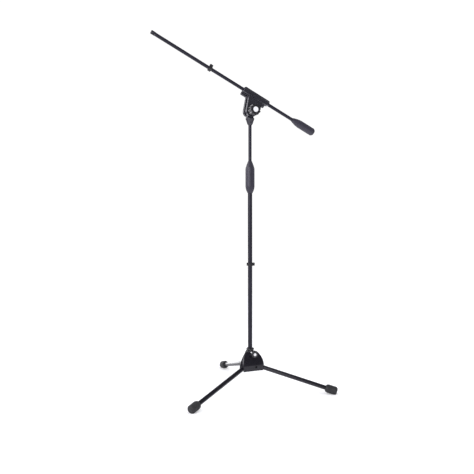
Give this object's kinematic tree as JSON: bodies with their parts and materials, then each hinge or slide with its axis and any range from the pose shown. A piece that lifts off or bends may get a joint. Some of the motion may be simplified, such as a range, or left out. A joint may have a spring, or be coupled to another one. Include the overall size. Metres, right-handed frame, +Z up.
{
  "type": "boom microphone stand",
  "caption": "Folding tripod microphone stand with a telescopic pole and a tilting, sliding counterweighted boom that ends in a microphone thread.",
  "frame": {"origin": "on the floor, in the middle of the whole stand's bounding box in the rest pose; the pole's axis stands at x 49.5 mm, y -87.0 mm", "axes": "+Z up along the pole, +Y towards the rear leg's side, -X towards the boom's tip"},
  "size_m": [0.7464, 0.5646, 1.4616],
  "materials": {
    "gloss_black": "high-gloss black enamel on a die-cast hub and steel legs",
    "satin_black_tube": "satin black powder coat on steel tube",
    "cast_black": "semi-gloss black powder coat on die-cast zinc",
    "black_plastic": "moulded black polyamide, satin",
    "grip_black": "soft-touch black grip with a faint violet sheen",
    "white_plastic": "glossy white moulded cap",
    "grey_plastic": "natural grey acetal",
    "foot_rubber": "moulded black rubber",
    "bright_steel": "bright chrome plating",
    "zinc_steel": "zinc-plated steel",
    "knob_brass": "turned brass insert"
  },
  "bodies": {
    "base": {"base_hub": "gloss_black", "hub_bush": "grey_plastic", "hub_collar": "black_plastic", "base_clamp_shoe": "grey_plastic", "leg_pin_rear": "cast_black", "leg_pin_front_left": "cast_black", "leg_pin_front_right": "cast_black"},
    "base_knob": {"base_knob_grip": "black_plastic", "base_knob_cap": "white_plastic", "base_clamp_screw": "bright_steel"},
    "leg_rear": {"leg_tube_rear": "gloss_black", "leg_knuckle_rear": "cast_black", "leg_foot_rear": "foot_rubber"},
    "leg_front_left": {"leg_tube_front_left": "gloss_black", "leg_knuckle_front_left": "cast_black", "leg_foot_front_left": "foot_rubber"},
    "leg_front_right": {"leg_tube_front_right": "gloss_black", "leg_knuckle_front_right": "cast_black", "leg_foot_front_right": "foot_rubber"},
    "lower_pole": {"lower_tube": "satin_black_tube", "lower_tube_plug": "black_plastic", "clutch_housing": "cast_black", "clutch_collet": "grey_plastic"},
    "clutch": {"clutch_grip": "grip_black"},
    "pole_clip": {"pole_cable_clip": "black_plastic"},
    "upper_slider": {"upper_tube_guide": "grey_plastic"},
    "upper_pole": {"upper_tube": "satin_black_tube", "head_socket": "cast_black", "head_set_screw": "zinc_steel"},
    "boom_clamp": {"clamp_shell_front": "cast_black", "clamp_shell_rear": "cast_black", "clamp_liner": "grey_plastic", "friction_washer_front": "black_plastic", "friction_washer_rear": "black_plastic", "tilt_bolt": "zinc_steel", "tilt_spring": "zinc_steel"},
    "tilt_knob": {"tilt_knob_grip": "black_plastic", "tilt_knob_insert": "knob_brass", "tilt_knob_cap": "white_plastic"},
    "boom": {"boom_tube": "satin_black_tube", "boom_thread_tip": "cast_black", "counterweight_core": "zinc_steel", "counterweight_grip": "grip_black"},
    "boom_clip": {"boom_cable_clip": "black_plastic"}
  },
  "joints": [
    {"name": "leg_fold_rear", "type": "hinge", "parent": "base", "child": "leg_rear", "pos_m": [0.0495, -0.05704, 0.106], "axis": [-1, 0, 0], "range_deg": [0, 74]},
    {"name": "leg_fold_front_left", "type": "hinge", "parent": "base", "child": "leg_front_left", "pos_m": [0.02352, -0.10204, 0.106], "axis": [0.5, -0.866, 0], "range_deg": [0, 74]},
    {"name": "leg_fold_front_right", "type": "hinge", "parent": "base", "child": "leg_front_right", "pos_m": [0.07548, -0.10204, 0.106], "axis": [0.5, 0.866, 0], "range_deg": [0, 74]},
    {"name": "base_knob_turn", "type": "hinge", "parent": "base", "child": "base_knob", "pos_m": [0.0495, -0.13703, 0.164], "axis": [0, -1, 0], "range_deg": [0, 270]},
    {"name": "pole_slide", "type": "slide", "parent": "base", "child": "lower_pole", "axis": [0, 0, 1], "range_m": [-0.29, 0]},
    {"name": "clutch_twist", "type": "hinge", "parent": "lower_pole", "child": "clutch", "pos_m": [0.0495, -0.08704, 0.906], "axis": [0, 0, 1], "range_deg": [0, 180]},
    {"name": "pole_clip_slide", "type": "slide", "parent": "lower_pole", "child": "pole_clip", "axis": [0, 0, 1], "range_m": [-0.05, 0.28]},
    {"name": "height_slide", "type": "slide", "parent": "lower_pole", "child": "upper_slider", "axis": [0, 0, 1], "range_m": [-0.14, 0.48]},
    {"name": "head_swivel", "type": "hinge", "parent": "upper_slider", "child": "upper_pole", "pos_m": [0.0495, -0.08704, 1.145], "axis": [0, 0, 1], "continuous": true},
    {"name": "boom_tilt", "type": "hinge", "parent": "upper_pole", "child": "boom_clamp", "pos_m": [0.0495, -0.08704, 1.179], "axis": [-0.0576, 0.9983, 0], "range_deg": [-105, 58]},
    {"name": "tilt_knob_turn", "type": "hinge", "parent": "boom_clamp", "child": "tilt_knob", "pos_m": [0.0518, -0.12697, 1.179], "axis": [0.0576, -0.9983, 0], "range_deg": [0, 270]},
    {"name": "boom_slide", "type": "slide", "parent": "boom_clamp", "child": "boom", "axis": [-0.9007, -0.0519, 0.4313], "range_m": [-0.12, 0.115]},
    {"name": "boom_clip_slide", "type": "slide", "parent": "boom", "child": "boom_clip", "axis": [-0.9007, -0.0519, 0.4313], "range_m": [-0.03, 0.22]}
  ]
}
